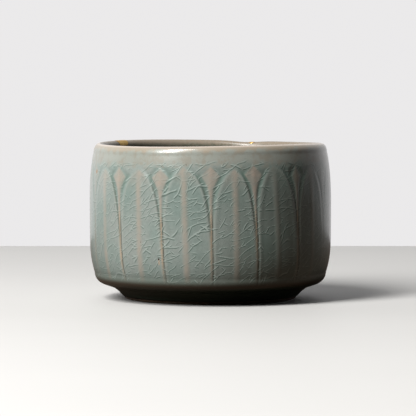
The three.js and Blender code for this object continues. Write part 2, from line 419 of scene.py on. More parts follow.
# %% [markdown]
# ## Measuring against the petals
#
# A carver sees at once how far the knife is from the nearest edge. Here each point of the coat is
# measured for that: how far it is from the nearest rib and stem, how far inside a front petal or a
# back petal's head, and how far below their tips. Smooth steps and bumps turn distances into shapes.

# %% Soft steps, bumps and turns
def smooth_step(value, low, high):
    share = np.clip((value - low) / (high - low), 0, 1)
    return share * share * (3 - 2 * share)


def bump_at(distance, width):
    return np.exp(-((distance / width) ** 2))


def turned_to(angle):
    return (angle + 180) % 360 - 180


# %% Say how wide a petal and a head are below their tips
def petal_widths(drop):
    """Share of its full half-width that a front petal has at a drop below its tip, and its slope."""
    reach = 12 * MM
    open_share = 1 - np.exp(-np.maximum(drop, 1e-6) / reach)
    width = open_share**0.67
    slope = 0.67 * open_share**-0.33 * np.exp(-np.maximum(drop, 1e-6) / reach) / reach
    return width, slope


HEAD_CORNER = 4.3 * MM


def head_half_width(drop):
    """Half the width of a back petal's kite-shaped head and of the stem below it."""
    rising = 4.4 * MM * (np.clip(drop, 0, HEAD_CORNER) / HEAD_CORNER) ** 0.85
    below = np.maximum(drop - HEAD_CORNER, 0)
    falling = 0.6 * MM + 3.8 * MM * np.exp(-((below / (4.2 * MM)) ** 1.2))
    return np.where(drop < 0, drop, np.where(drop < HEAD_CORNER, rising, falling))


print("a head is", round(2 * float(head_half_width(HEAD_CORNER)) / MM, 1), "mm wide")


# %% Measure every point of a coat against the petals
def measure(piece):
    """Distances, in metres, from each point to the petals around it."""
    count = len(piece.data.vertices)
    points = np.empty(count * 3)
    piece.data.vertices.foreach_get("co", points)
    points = points.reshape(-1, 3)
    height = points[:, 2]
    azimuth = np.degrees(np.arctan2(points[:, 0], -points[:, 1]))
    radius = np.hypot(points[:, 0], points[:, 1])
    down_share = np.clip((PETAL_TIP - height) / (PETAL_TIP - PETAL_FOOT), -0.1, 1.1)

    def offsets(row):
        middles = row[:, 0][:, None] + (row[:, 1] - row[:, 0])[:, None] * down_share[None, :]
        return turned_to(azimuth[None, :] - middles) * DEGREE

    to_ribs, to_stems = offsets(front_row), offsets(back_row)
    columns = np.arange(count)
    rib_left = np.argmin(np.where(to_ribs >= 0, to_ribs, np.inf), axis=0)
    rib_right = np.argmax(np.where(to_ribs < 0, to_ribs, -np.inf), axis=0)
    stem = np.argmin(np.abs(to_stems), axis=0)
    from_left = to_ribs[rib_left, columns]
    from_right = -to_ribs[rib_right, columns]
    past_stem = to_stems[stem, columns]
    # The stem that divides the two front petals around a point.
    left_span = from_left - past_stem
    divides = (left_span > 0) & (left_span < from_left + from_right)
    middle = (from_left + from_right) / 2
    to_stem = np.where(divides, past_stem, from_left - middle)
    on_left = to_stem < 0
    rib_distance = np.where(on_left, from_left, from_right)
    span = rib_distance + np.abs(to_stem)
    tip = np.where(on_left, front_row[rib_left, 2], front_row[rib_right, 2]) * MM
    drop = tip - height
    width, slope = petal_widths(drop)
    edge = (span * width - rib_distance) / np.sqrt(1 + (span * slope) ** 2)
    edge = np.where(drop > 0, edge, -np.hypot(rib_distance, drop))
    head_drop = back_row[stem, 2] * MM - height
    # The edge slants, so a point is nearer to it square on than sideways.
    square_on = np.where(head_drop < HEAD_CORNER, 0.7, 0.95)
    head = (head_half_width(head_drop) * head_shares[stem] - np.abs(past_stem)) * square_on
    head = np.where(head_drop > 0, head, -np.hypot(past_stem, head_drop))
    return {
        "height": height, "azimuth": azimuth, "radius": radius, "rib": rib_distance, "stem": to_stem,
        "edge": edge, "head": head, "drop": drop, "head_drop": head_drop, "past_stem": past_stem,
    }


reading = measure(outer_coat)
print("measured", len(reading["height"]), "points")

# %% [markdown]
# ## How deep the knife went
#
# A front petal is a shallow dish with a raised rib and edge, and a back petal's head has a soft
# ridge. The ground is cut deepest between the tips, and rises to the plain band above. Low down a
# single knife line runs beside each stem. The depth could be sculpted, but as a formula of the
# distances it stays the same on all petals, and gives the masks for the glaze at the same time.

# %% Shape the front petals
DISH_DEPTH = 0.14 * MM


def front_petals(m):
    """Depth of the front petals' faces, and how much of each point is rib, tip or raised edge."""
    edge_line = bump_at(m["edge"] - 0.65 * MM, 0.5 * MM)
    dish = smooth_step(m["edge"], 0.8 * MM, 3.4 * MM)
    flare = 2.2 * MM * bump_at(m["drop"], 6 * MM)
    rib = 1 - smooth_step(m["rib"], 0.2 * MM, 2.3 * MM + flare)
    tip = bump_at(m["drop"], 5.5 * MM) * smooth_step(m["edge"], 0.2 * MM, 1.4 * MM)
    return DISH_DEPTH * dish * (1 - 0.85 * rib), rib, tip, edge_line


face_depth, rib_share, tip_share, edge_share = front_petals(reading)
print("front petals dished to", round(face_depth.max() / MM, 2), "mm")

# %% Shape the back petals' heads, and the ground between all of them
CARVE_DEPTH = 0.4 * MM
HEAD_DEPTH = 0.16 * MM
GROUND_REACH = 3.4 * MM


def back_heads(m):
    """Depth of the back petals' heads, and the soft ridge down their middle."""
    ridge = bump_at(m["past_stem"], 1.3 * MM)
    return HEAD_DEPTH * (1 - 0.7 * ridge) * smooth_step(m["head_drop"], 0, 3 * MM), ridge


def under_band(m):
    """1 on the petals and 0 on the plain band above, with a slightly uneven border."""
    around = np.radians(m["azimuth"])
    fade_from = (65.0 + 0.8 * np.sin(11 * around) + 0.6 * np.sin(29 * around)) * MM
    return smooth_step(fade_from - m["height"], 0, 5.0 * MM)


def cut_ground(m, front_depth):
    """Cuts the ground away round the front petals and the heads, and joins the three."""
    edge, head = m["edge"], m["head"]
    outside = -np.maximum(edge, head)
    ground = CARVE_DEPTH * smooth_step(GROUND_REACH - outside, 0, 3.0 * MM) * under_band(m)
    front_face = front_depth + (ground - front_depth) * smooth_step(-edge, -0.5 * MM, 1.5 * MM)
    back_face = back_heads(m)[0]
    back_face = back_face + (ground - back_face) * smooth_step(-head, -0.5 * MM, 1.1 * MM)
    return np.where(edge > 0.35 * MM, front_face, np.minimum(front_face, back_face))


relief = cut_ground(reading, face_depth)
print("ground cut to", round(relief.max() / MM, 2), "mm")

# %% Draw the knife lines
KNIFE_DEPTH = 0.3 * MM


def right_of_stem(m):
    return smooth_step(-m["stem"], -0.5 * MM, 0.5 * MM)


def knife_lines(m):
    """The cut beside each stem low down, and the fainter one up each petal's right edge."""
    low_down = smooth_step(46 * MM - m["height"], 0, 10 * MM)
    knife = bump_at(m["stem"] - 0.62 * MM, 0.3 * MM) * low_down
    right_cut = bump_at(m["edge"] + 0.2 * MM, 0.4 * MM) * right_of_stem(m)
    right_cut *= smooth_step(m["drop"], 3 * MM, 9 * MM)
    knife = np.maximum(knife, 0.5 * right_cut * smooth_step(m["height"], 24 * MM, 40 * MM))
    return knife, low_down


def lighter_hand(m):
    """Round on both sides the knife was held lighter: how much lighter, from 0 to 1."""
    return np.maximum(0.85 * bump_at(m["azimuth"] - 70, 18), 0.6 * bump_at(m["azimuth"] + 72, 10))


knife, low_down = knife_lines(reading)
stem_line = bump_at(reading["stem"] + 0.1 * MM, 0.55 * MM)
stem_line *= smooth_step(60 * MM - reading["height"], 0, 6 * MM)
depth = relief * (1 - 0.8 * stem_line * low_down) + KNIFE_DEPTH * knife
depth *= smooth_step(reading["height"], 7 * MM, 16 * MM) * (1 - lighter_hand(reading))
print("deepest cut:", round(depth.max() / MM, 2), "mm")

# %% Say where the glaze runs thin and where it pools
def glaze_masks(m):
    """Shares from 0 to 1 of each mark that the glaze follows."""
    height, edge, head, drop = m["height"], m["edge"], m["head"], m["drop"]
    behind_front = 1 - smooth_step(edge, -0.2 * MM, 0.4 * MM)
    near_both = bump_at(np.minimum(edge, 0), 2.6 * MM) * bump_at(np.minimum(head, 0), 2.6 * MM)
    pocket = near_both * under_band(m) * behind_front * (1 - smooth_step(head, -0.3 * MM, 0.5 * MM))
    pocket *= smooth_step(height, 47 * MM, 58 * MM)
    beside = bump_at(edge + 0.45 * MM, 0.38 * MM) * behind_front * smooth_step(drop, 1 * MM, 5 * MM)
    in_head = smooth_step(head, -0.4 * MM, 0.7 * MM) * behind_front
    next_edge = bump_at(m["stem"] - 1.6 * MM, 0.55 * MM) * low_down
    amber = stem_line * (1 - knife) * smooth_step(50 * MM - height, 0, 12 * MM)
    return {
        "rib": np.maximum(rib_share * smooth_step(edge, 0, 1.2 * MM), 0.9 * tip_share),
        "head": in_head * (0.75 + 0.25 * back_heads(m)[1]) * smooth_step(height, 36 * MM, 48 * MM),
        "edge": np.maximum(edge_share * smooth_step(drop, 0, 3 * MM), next_edge),
        # The green beside an edge is glaze pooled in the cut, with painted shade added: it is much stronger
        # on each petal's right edge.
        "pooled_and_shaded": np.maximum(pocket, beside * (0.35 + 0.6 * right_of_stem(m))),
        "stem": amber * (0.35 + 0.65 * smooth_step(height, 11 * MM, 24 * MM)),
        "knife": knife,
    }


above_heel = smooth_step(reading["height"], 9 * MM, 12.5 * MM) * (1 - lighter_hand(reading))
masks = {name: values * above_heel for name, values in glaze_masks(reading).items()}
masks["level"] = reading["height"] / MM
print("masks:", ", ".join(masks))

# %% [markdown]
# ## Cutting the relief with modifiers
#
# A Displace modifier moves each point by its weight in a vertex group, so the worked-out depths are
# painted into groups and applied. The coat is a thin closed shell whose two faces have opposite
# normals, so moving along normals would pinch it. Moving along X and Y towards the axis moves both
# faces alike. The masks that the glaze will need stay behind as attributes.

# %% Push points with Displace modifiers
def keep_mask(piece, name, values):
    layer = piece.data.attributes.new(name, "FLOAT", "POINT")
    layer.data.foreach_set("value", np.asarray(values, np.float32))


def make_active(piece):
    deselect_all()
    bpy.context.view_layer.objects.active = piece
    piece.select_set(True)


def places_of(piece):
    """Every point of a piece, as rows of x, y and z."""
    points = np.empty(len(piece.data.vertices) * 3)
    piece.data.vertices.foreach_get("co", points)
    return points.reshape(-1, 3)


def push(piece, distance, direction, steps=500):
    """Moves points along X, Y or Z by their own distances: one Displace modifier each way.

    Weights are rounded to a number of steps, so that points which share one are added together.
    """
    for way in (1, -1):
        most = float(np.max(way * distance))
        if most <= 0:
            continue
        weight = np.round(np.maximum(way * distance, 0) / most * steps).astype(int)
        group = piece.vertex_groups.new(name="push")
        order = np.argsort(weight, kind="stable")
        levels, starts = np.unique(weight[order], return_index=True)
        for level, points in zip(levels, np.split(order, starts[1:])):
            if level > 0:
                group.add(points.tolist(), level / steps, "REPLACE")
        make_active(piece)
        bpy.ops.object.modifier_add(type="DISPLACE")
        modifier = piece.modifiers[-1]
        modifier.vertex_group = group.name
        modifier.direction = direction
        modifier.mid_level = 0
        modifier.strength = most * way
        bpy.ops.object.modifier_apply(modifier=modifier.name)
        piece.vertex_groups.remove(piece.vertex_groups["push"])


def push_towards_axis(piece, distance):
    """Moves points straight towards the axis, so that both faces of a thin shell move alike."""
    points = places_of(piece)
    radius = np.hypot(points[:, 0], points[:, 1])
    push(piece, -distance * points[:, 0] / radius, "X")
    push(piece, -distance * points[:, 1] / radius, "Y")


# %% Carve the coat
for name, values in masks.items():
    keep_mask(outer_coat, name, values)
push_towards_axis(outer_coat, depth)
print("carved:", outer_coat.name, "keeps", len(masks), "masks")

# %% [markdown]
# ## The waver of the lip
#
# A pot that is lifted off the wheel and fired on a not quite flat shelf ends up with a lip that rises
# and falls by under half a millimetre, and this one also sags a little at the small chip on its far
# side. Both are pushes up or down that fade out towards the belly.

# %% Let the lip waver
SAG_AZIMUTH = 160
SAG_DEPTH = 0.7 * MM
SAG_SPREAD = 9.0


def waver(piece):
    points = places_of(piece)
    azimuth = np.arctan2(points[:, 0], -points[:, 1])
    share = np.clip((points[:, 2] - BELLY_HEIGHT) / (POT_HEIGHT - BELLY_HEIGHT), 0, 1)
    swing = RIM_SWING * share**2 * np.sin(2 * azimuth)
    away = turned_to(np.degrees(azimuth) - SAG_AZIMUTH)
    sag = SAG_DEPTH * share**5 * bump_at(away, SAG_SPREAD)
    push(piece, swing - sag, "Z")


waver(outer_coat)
print("top of the outer coat:", round(places_of(outer_coat)[:, 2].max() / MM, 2), "mm")

# %% [markdown]
# ## The inner coat, the foot ring and the base
#
# The inside was glazed by pouring, so its coat is smooth and even. It meets the outer coat on the
# crest of the lip. The foot ring is a plain ring of clay, wiped clean of glaze where it touches the
# table, with a small disc of glaze inside it.

# %% Spin the inner coat
INNER_COLUMNS = 360
inner_lip_start = POT_HEIGHT - LIP_DROP
inner_reach = crest_radius - (wall_radius(inner_lip_start) - WALL_THICKNESS)
inner_heel_top = FLOOR_TOP + INNER_HEEL_ROUND
inner_heel_radius = wall_radius(inner_heel_top) - WALL_THICKNESS - INNER_HEEL_ROUND
rings_down = np.arange(inner_lip_start, inner_heel_top, -4 * FINE)
inner_line = (
    arc((crest_radius, inner_lip_start), (inner_reach, LIP_DROP), 90, 180, 24)
    + [(wall_radius(z) - WALL_THICKNESS, z) for z in rings_down[1:]]
    + arc((inner_heel_radius, inner_heel_top), (INNER_HEEL_ROUND, INNER_HEEL_ROUND), 0, -90, 40)
    + [(4 * MM, FLOOR_TOP)]
)
inner_face = evened(inner_line, 1.0 * MM)
inner_back = moved_in(evened(inner_line, 6 * MM), GLAZE_THICKNESS)[::-1]
floor_middle = [(0, FLOOR_TOP), (0, FLOOR_TOP - GLAZE_THICKNESS)]
inner_coat = spun("celadon_inside", inner_back + inner_face + floor_middle + inner_back[:1], INNER_COLUMNS)
keep_mask(inner_coat, "level", measure(inner_coat)["height"] / MM)
waver(inner_coat)

# %% [markdown]
# ## The foot ring and the glazed base
#
# The ring's sloping side lies just under the outer coat, and comes out from it near the table, where
# the glaze was wiped off. Both pieces are spun from short outlines like the coats.

# %% Spin the foot ring and the base glaze
FOOT_COLUMNS = 240
foot_outer, _, foot_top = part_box("foot_ring")[1]
contact_outer = foot_side(0) - 0.4 * MM
contact_inner = FOOT_RADIUS - FOOT_WIDTH
ring_line = (
    [(contact_inner + 0.5 * MM, 0), (contact_outer - 0.3 * MM, 0), (contact_outer + 0.1 * MM, 0.25 * MM)]
    + [(foot_side(z) - 0.4 * MM, z) for z in np.arange(0.5, 1.5, 0.3) * MM]
    + [(foot_side(z) - 1.2 * MM, z) for z in np.arange(1.8, 5.5, 0.4) * MM]
    + [(foot_outer, foot_top), (contact_inner - 0.6 * MM, foot_top), (contact_inner, 0.5 * MM)]
)
ring_line = evened(ring_line + ring_line[:1], 0.6 * MM)
foot = spun("stoneware_foot", ring_line, FOOT_COLUMNS)

base_edge, _, base_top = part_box("base_glaze")[1]
base_face = base_top - GLAZE_THICKNESS
base_line = (
    [(0, base_face), (base_edge - 2.2 * MM, base_face)]
    + arc((base_edge - 1.2 * MM, base_face - 0.6 * MM), (0.9 * MM, 0.6 * MM), 90, 0, 6)
    + [(base_edge, base_face - 0.55 * MM), (base_edge, base_top), (0, base_top)]
)
base_line = evened(base_line, 0.8 * MM)
base = spun("celadon_base", base_line, FOOT_COLUMNS)

# %% [markdown]
# ## The gold fills
#
# The two chips of the lip were built up with lacquer and dusted with gold powder. Such a fill is a
# thin, slightly domed patch that lies over the lip like a saddle. Bending a slab by hand needs a
# window, so it starts here as a flat slab extruded from a grid, and Displace modifiers carry each
# point to its place: the slab's two flat directions become the way along the lip and the way across
# it, and its thickness follows the lip's own slope.

# %% Follow the lip from outside to inside
lip_over = lip_line[:-1] + inner_line[:30]
lip_points = evened(lip_over, FINE)
lip_array = np.array(lip_points)
lip_run = np.concatenate([[0], np.cumsum(np.linalg.norm(np.diff(lip_array, axis=0), axis=1))])
crest_place = lip_run[np.argmax(lip_array[:, 1])]
lip_inward = np.array(moved_in(lip_points, 1 * MM)) - lip_array
print("the way over the lip is", round(lip_run[-1] / MM, 1), "mm long")

# %% Bend a slab of gold over the lip
PROUD = 0.16 * MM
EDGE_SUNK = 0.04 * MM
PATCH_STEPS = 1000000


def lip_rise(azimuth):
    """How far the waver lifts the crest at an azimuth in degrees."""
    swing = RIM_SWING * np.sin(2 * np.radians(azimuth))
    return swing - SAG_DEPTH * bump_at(turned_to(azimuth - SAG_AZIMUTH), SAG_SPREAD)


def gold_patch(name, azimuth, half_length, outward, inward, thickness):
    """A domed patch over the lip, reaching outward and inward from the crest."""
    deselect_all()
    bpy.ops.mesh.primitive_grid_add(x_subdivisions=56, y_subdivisions=40, size=2 * half_length)
    patch = bpy.context.object
    patch.name = patch.data.name = name
    bpy.ops.object.mode_set(mode="EDIT")
    bpy.ops.mesh.select_all(action="SELECT")
    bpy.ops.mesh.extrude_region_move(TRANSFORM_OT_translate={"value": (0, 0, thickness)})
    bpy.ops.object.mode_set(mode="OBJECT")
    flat = places_of(patch)
    across, along = flat[:, 0] / half_length, flat[:, 1] / half_length
    round_x = across * np.sqrt(1 - along**2 / 2)
    round_y = along * np.sqrt(1 - across**2 / 2)
    rim = np.hypot(round_x, round_y)
    uneven = 1 + 0.07 * np.sin(5 * np.arctan2(round_y, round_x) + azimuth)
    place = crest_place + round_y * np.where(round_y < 0, outward, inward) * uneven
    turn = azimuth + np.degrees(round_x * half_length * uneven / crest_radius)
    on_lip = np.stack([np.interp(place, lip_run, lip_array[:, i]) for i in (0, 1)], 1)
    inwards = np.stack([np.interp(place, lip_run, lip_inward[:, i]) for i in (0, 1)], 1)
    inwards /= np.linalg.norm(inwards, axis=1)[:, None]
    dome = PROUD * np.sqrt(np.clip(1 - rim**4, 0, 1)) - EDGE_SUNK
    sink = np.where(flat[:, 2] > thickness / 2, -dome, thickness * (1 - 0.6 * rim**2))
    radius, height = (on_lip + inwards * sink[:, None]).T
    bent = (radius * np.sin(np.radians(turn)), -radius * np.cos(np.radians(turn)), height + lip_rise(turn))
    for direction, now, then in zip("XYZ", flat.T, bent):
        push(patch, then - now, direction, PATCH_STEPS)
    keep_mask(patch, "rim", rim)
    make_active(patch)
    bpy.ops.object.mode_set(mode="EDIT")
    bpy.ops.mesh.select_all(action="SELECT")
    bpy.ops.mesh.normals_make_consistent(inside=False)
    bpy.ops.object.mode_set(mode="OBJECT")
    bpy.ops.object.shade_smooth_by_angle(angle=math.radians(50))
    print(name, "is", round(2000 * half_length, 1), "mm long")
    return patch


# %% Make the two fills
gold_left = gold_patch(
    "gold_left", azimuth=-123.7, half_length=4.7 * MM, outward=1.3 * MM, inward=4.4 * MM, thickness=0.9 * MM
)
gold_back = gold_patch(
    "gold_back", azimuth=156.9, half_length=1.6 * MM, outward=0.9 * MM, inward=1.5 * MM, thickness=0.6 * MM
)

# %% [markdown]
# ## Where a pattern lies on the pot
#
# Crackle runs over a turned surface as if it were drawn on paper wrapped round it, so its pattern
# needs a place measured along the wall and a height, both in millimetres. A node group works them
# out from the object coordinates. The paper's two ends have to meet somewhere, and they meet under
# one petal's rib at the back, where the glaze is too thin to crackle.

# %% Build the wrapping group
def new_group(name, inputs, outputs):
    """A shader group with named sockets, and its two end nodes."""
    group = bpy.data.node_groups.new(name, "ShaderNodeTree")
    for socket, kind, default in inputs:
        made = group.interface.new_socket(name=socket, in_out="INPUT", socket_type=kind)
        if default is not None:
            made.default_value = default
    for socket, kind in outputs:
        group.interface.new_socket(name=socket, in_out="OUTPUT", socket_type=kind)
    return group, group.nodes.new("NodeGroupInput"), group.nodes.new("NodeGroupOutput")


def place_group(tree, group, inputs=None):
    return new_tree_node(tree, "ShaderNodeGroup", inputs, node_tree=group)


FLOAT, VECTOR, COLOUR = "NodeSocketFloat", "NodeSocketVector", "NodeSocketColor"
wrapping, _, ends = new_group(
    "wrapped_round_the_pot", [],
    [("Along", FLOAT), ("Height", FLOAT), ("Wrapped", VECTOR), ("Solid", VECTOR)],
)
own = new_tree_node(wrapping, "ShaderNodeTexCoord").outputs["Object"]
solid = new_tree_node(
    wrapping, "ShaderNodeVectorMath", {0: own, 1: (1000, 1000, 1000)}, operation="MULTIPLY"
).outputs[0]
turn = math.radians(180 - SEAM_AZIMUTH)
turned = new_tree_node(
    wrapping, "ShaderNodeVectorRotate", {"Vector": solid, "Angle": turn}, rotation_type="Z_AXIS"
).outputs[0]
parts = new_tree_node(wrapping, "ShaderNodeSeparateXYZ", {0: turned}).outputs
back = maths(wrapping, "MULTIPLY", parts["Y"], -1.0)
angle = maths(wrapping, "SUBTRACT", maths(wrapping, "ARCTAN2", parts["X"], back), turn)
along = maths(wrapping, "MULTIPLY", angle, 1000 * POT_RADIUS)
paper = new_tree_node(wrapping, "ShaderNodeCombineXYZ", {0: along, 1: parts["Z"]}).outputs[0]
for value, socket in ((along, "Along"), (parts["Z"], "Height"), (paper, "Wrapped"), (solid, "Solid")):
    wrapping.links.new(value, ends.inputs[socket])
print("group:", wrapping.name)

# %% [markdown]
# ## Crackle
#
# As the pot cools its glaze shrinks more than the clay, and cracks. On this glaze the cracks show as
# fine raised-looking strokes, most of them slanting up to the right, and each is drawn as a painted
# highlight line with a painted shadow line just under it. Voronoi edges would do for a closed net,
# which is how the still inner glaze is drawn, but these strokes start and stop. So noise first bends
# the paper gently, then four sets of ruled lines, each with its own slant and spacing, are drawn on
# it, and noise along each line lets only some stretches show. The group puts out the painted
# highlight and the painted shadow line apart.

# %% Bend the paper, and rule one set of strokes
def swayed(tree, place, scale, reach, flat=True):
    """A place pushed gently about by noise."""
    noise = new_tree_node(
        tree, "ShaderNodeTexNoise", {"Vector": place, "Scale": scale, "Detail": 0.0},
        noise_dimensions="2D" if flat else "3D",
    ).outputs["Color"]
    swing = new_tree_node(
        tree, "ShaderNodeVectorMath", {0: noise, 1: (0.5, 0.5, 0.5)}, operation="SUBTRACT"
    ).outputs[0]
    scaled = new_tree_node(
        tree, "ShaderNodeVectorMath", {0: swing, 1: (reach, reach, reach)}, operation="MULTIPLY"
    ).outputs[0]
    return new_tree_node(
        tree, "ShaderNodeVectorMath", {0: place, 1: scaled}, operation="ADD"
    ).outputs[0]


def strokes(tree, place, slant, spacing, length, share, seed):
    """Slanting cracks that start and stop: a painted highlight line, and the painted shadow line under it.
    """
    leant = new_tree_node(
        tree, "ShaderNodeVectorRotate", {"Vector": place, "Angle": math.radians(-slant)},
        rotation_type="Z_AXIS",
    ).outputs[0]
    parts = new_tree_node(tree, "ShaderNodeSeparateXYZ", {0: leant}).outputs
    across = maths(tree, "MULTIPLY_ADD", parts["Y"], 1 / spacing, seed)
    number = maths(tree, "ROUND", across)
    away = maths(tree, "MULTIPLY", maths(tree, "SUBTRACT", across, number), spacing)
    run = maths(tree, "DIVIDE", parts["X"], length)
    line = new_tree_node(tree, "ShaderNodeCombineXYZ", {0: run, 1: maths(tree, "MULTIPLY", number, 7.31)})
    noise = new_tree_node(
        tree, "ShaderNodeTexNoise", {"Vector": line.outputs[0], "Scale": 1.0, "Detail": 0.0},
        noise_dimensions="2D",
    ).outputs["Fac"]
    there = ramp(tree, noise, 1 - share, 1.1 - share)
    light = ramp(tree, maths(tree, "ABSOLUTE", away), 0.06, 0.29, 1.0, 0.0)
    below = maths(tree, "ABSOLUTE", maths(tree, "ADD", away, 0.38))
    painted_shadow = ramp(tree, below, 0.06, 0.34, 1.0, 0.0)
    return maths(tree, "MULTIPLY", light, there), maths(tree, "MULTIPLY", painted_shadow, there)


# %% Build the crackle of the wall
# Slant in degrees, spacing and length in millimetres, share that shows, and a seed, of each set.
CRACK_SETS = (
    (30, 3.0, 6.5, 0.55, 0.31),
    (6, 3.6, 6.5, 0.51, 5.62),
    (52, 3.6, 6.0, 0.52, 9.17),
    (-20, 5.2, 3.0, 0.42, 2.4),
)
crackle, start, ends = new_group(
    "crackle_on_the_wall", [("Place", VECTOR, None)], [("Light", FLOAT), ("Dark", FLOAT)]
)
place = swayed(crackle, start.outputs["Place"], 0.085, 4.4)
place = swayed(crackle, place, 0.26, 0.7)
light, painted_shadow = 0.0, 0.0
for crack in CRACK_SETS:
    more_light, more_painted_shadow = strokes(crackle, place, *crack)
    light = maths(crackle, "MAXIMUM", light, more_light)
    painted_shadow = maths(crackle, "MAXIMUM", painted_shadow, more_painted_shadow)
painted_shadow = maths(crackle, "MULTIPLY", painted_shadow, maths(crackle, "SUBTRACT", 1.0, light))
crackle.links.new(light, ends.inputs["Light"])
crackle.links.new(painted_shadow, ends.inputs["Dark"])

print("group:", crackle.name, "of", len(CRACK_SETS), "sets")

# %% Build the net of the inside
net, start, ends = new_group(
    "crackle_inside", [("Solid", VECTOR, None), ("Cell", FLOAT, 4.0)], [("Lines", FLOAT)]
)
place = swayed(net, start.outputs["Solid"], 0.25, 2.5, flat=False)
shrunk = new_tree_node(
    net, "ShaderNodeVectorMath", {0: place, 1: start.outputs["Cell"]}, operation="DIVIDE"
).outputs[0]
cells = new_tree_node(
    net, "ShaderNodeTexVoronoi", {"Vector": shrunk, "Scale": 1.0}, feature="DISTANCE_TO_EDGE"
).outputs["Distance"]
net.links.new(ramp(net, cells, 0.01, 0.05, 1.0, 0.0), ends.inputs["Lines"])
print("group:", net.name)

# %% [markdown]
# ## The body of the glaze
#
# Celadon gets its colour from a little iron and from its own depth. Where it lies thick it is blue
# green, where it runs thin over a ridge the clay shows through as cream, and it is never quite even.
# Every glazed piece shares one group that gives the colour of an even coat: a slow drift between a
# greener and a greyer celadon, a fine mottle, and a few specks of iron from the clay.

# %% Build the glaze colour group
GREEN_CELADON = (0.235, 0.303, 0.276)
GREY_CELADON = (0.300, 0.338, 0.315)
glaze_body, start, ends = new_group(
    "celadon_body",
    [("Solid", VECTOR, None), ("Green", COLOUR, (*GREEN_CELADON, 1)), ("Grey", COLOUR, (*GREY_CELADON, 1))],
    [("Colour", COLOUR), ("Mottle", FLOAT), ("Specks", FLOAT)],
)
drift = new_tree_node(
    glaze_body, "ShaderNodeTexNoise", {"Vector": start.outputs["Solid"], "Scale": 0.045, "Detail": 3.0}
).outputs["Fac"]
fine = new_tree_node(
    glaze_body, "ShaderNodeTexNoise",
    {"Vector": start.outputs["Solid"], "Scale": 0.8, "Detail": 4.0, "Roughness": 0.6},
).outputs["Fac"]
drifted = mixed(
    glaze_body, ramp(glaze_body, drift, 0.35, 0.65), start.outputs["Green"], start.outputs["Grey"]
)
tone = ramp(glaze_body, fine, 0.25, 0.75, 0.93, 1.07)
toned = new_tree_node(
    glaze_body, "ShaderNodeVectorMath", {0: drifted, "Scale": tone}, operation="SCALE"
).outputs[0]
specks = new_tree_node(
    glaze_body, "ShaderNodeTexVoronoi", {"Vector": start.outputs["Solid"], "Scale": 0.13},
    feature="F1", voronoi_dimensions="3D",
).outputs["Distance"]
glaze_body.links.new(toned, ends.inputs["Colour"])
glaze_body.links.new(fine, ends.inputs["Mottle"])
glaze_body.links.new(ramp(glaze_body, specks, 0.02, 0.035, 1.0, 0.0), ends.inputs["Specks"])
print("group:", glaze_body.name)


# %% [markdown]
# ## The outer glaze
#
# The finish is laid on in the order that the kiln makes it: an even coat, a greyer and beiger band
# under the lip, deep green pooled in the cuts, cream on ribs and heads where it ran thin, and amber
# and dark lines down the stems. Part of it is painted shade: the pooled green is stronger on each
# petal's right edge, the dark of the knife lines is shade in the cut, the wall darkens to grey, brown
# and a dark green low on the heel and the foot, and it is greener and a little darker round the right,
# for a room that darkens on that side, which is a choice of looks and not a known property of the
# glaze. Cracks, drawn as a painted highlight with a painted shadow under it, an iron speck and a rust
# spot come last.
# Constant values stay on the shader, and only what changes over the pot is linked.

# %% Read a mask, and make a spot
def own_mask(tree, name):
    return new_tree_node(tree, "ShaderNodeAttribute", attribute_name=name).outputs["Fac"]


def spot(tree, where, azimuth, height, half_width, half_height):
    """A soft oval mark at one place on the wall: 1 in the middle."""
    middle = math.radians(azimuth) * 1000 * POT_RADIUS
    aside = maths(tree, "DIVIDE", maths(tree, "SUBTRACT", where["Along"], middle), half_width)
    above = maths(tree, "DIVIDE", maths(tree, "SUBTRACT", where["Height"], height), half_height)
    squared = maths(tree, "MULTIPLY_ADD", aside, aside, maths(tree, "MULTIPLY", above, above))
    return ramp(tree, squared, 0.3, 1.2, 1.0, 0.0)


# %% Name the outer glaze's colours
RIB_CREAM = (0.410, 0.352, 0.290)
HEAD_CREAM = (0.405, 0.342, 0.283)
PALE_EDGE = (0.350, 0.385, 0.350)
DEEP_GREEN = (0.128, 0.196, 0.163)
AMBER = (0.570, 0.415, 0.285)
SHADED_KNIFE_DARK = (0.070, 0.062, 0.045)
BAND_GREY = (0.325, 0.345, 0.308)
BAND_BEIGE = (0.300, 0.290, 0.243)
CREST_CREAM = (0.560, 0.480, 0.410)
UNDER_LIP = (0.360, 0.305, 0.235)
PAINTED_SHADE_GREY = (0.125, 0.145, 0.120)
SHADED_HEEL_BROWN = (0.085, 0.068, 0.048)
SHADED_FOOT_GREEN = (0.048, 0.078, 0.060)
CRACK_PAINTED_HIGHLIGHT = (0.44, 0.52, 0.48)
CRACK_PAINTED_SHADOW = (0.085, 0.13, 0.11)
IRON = (0.030, 0.018, 0.010)
RUST = (0.300, 0.125, 0.010)

print("deepest glaze:", DEEP_GREEN, " thinnest:", CREST_CREAM)

# %% Start the outer glaze with all that it follows
outside_glaze, tree, output = empty_material("celadon_outside")


def times(*values):
    product = values[0]
    for value in values[1:]:
        product = maths(tree, "MULTIPLY", product, value)
    return product


where = place_group(tree, wrapping).outputs
body = place_group(tree, glaze_body, {"Solid": where["Solid"]}).outputs
cracks = place_group(tree, crackle, {"Place": where["Wrapped"]}).outputs
rib, head, edge = own_mask(tree, "rib"), own_mask(tree, "head"), own_mask(tree, "edge")
pooled_and_shaded, stem, knife = own_mask(tree, "pooled_and_shaded"), own_mask(tree, "stem"), own_mask(tree, "knife")
level = own_mask(tree, "level")
patches = new_tree_node(
    tree, "ShaderNodeTexNoise",
    {"Vector": where["Wrapped"], "Scale": 0.2, "Detail": 5.0, "Roughness": 0.62},
    noise_dimensions="2D",
).outputs["Fac"]
uneven = ramp(tree, patches, 0.3, 0.7, 0.7, 1.2)
rough_level = maths(tree, "MULTIPLY_ADD", patches, 5.0, level)
print("started:", outside_glaze.name)
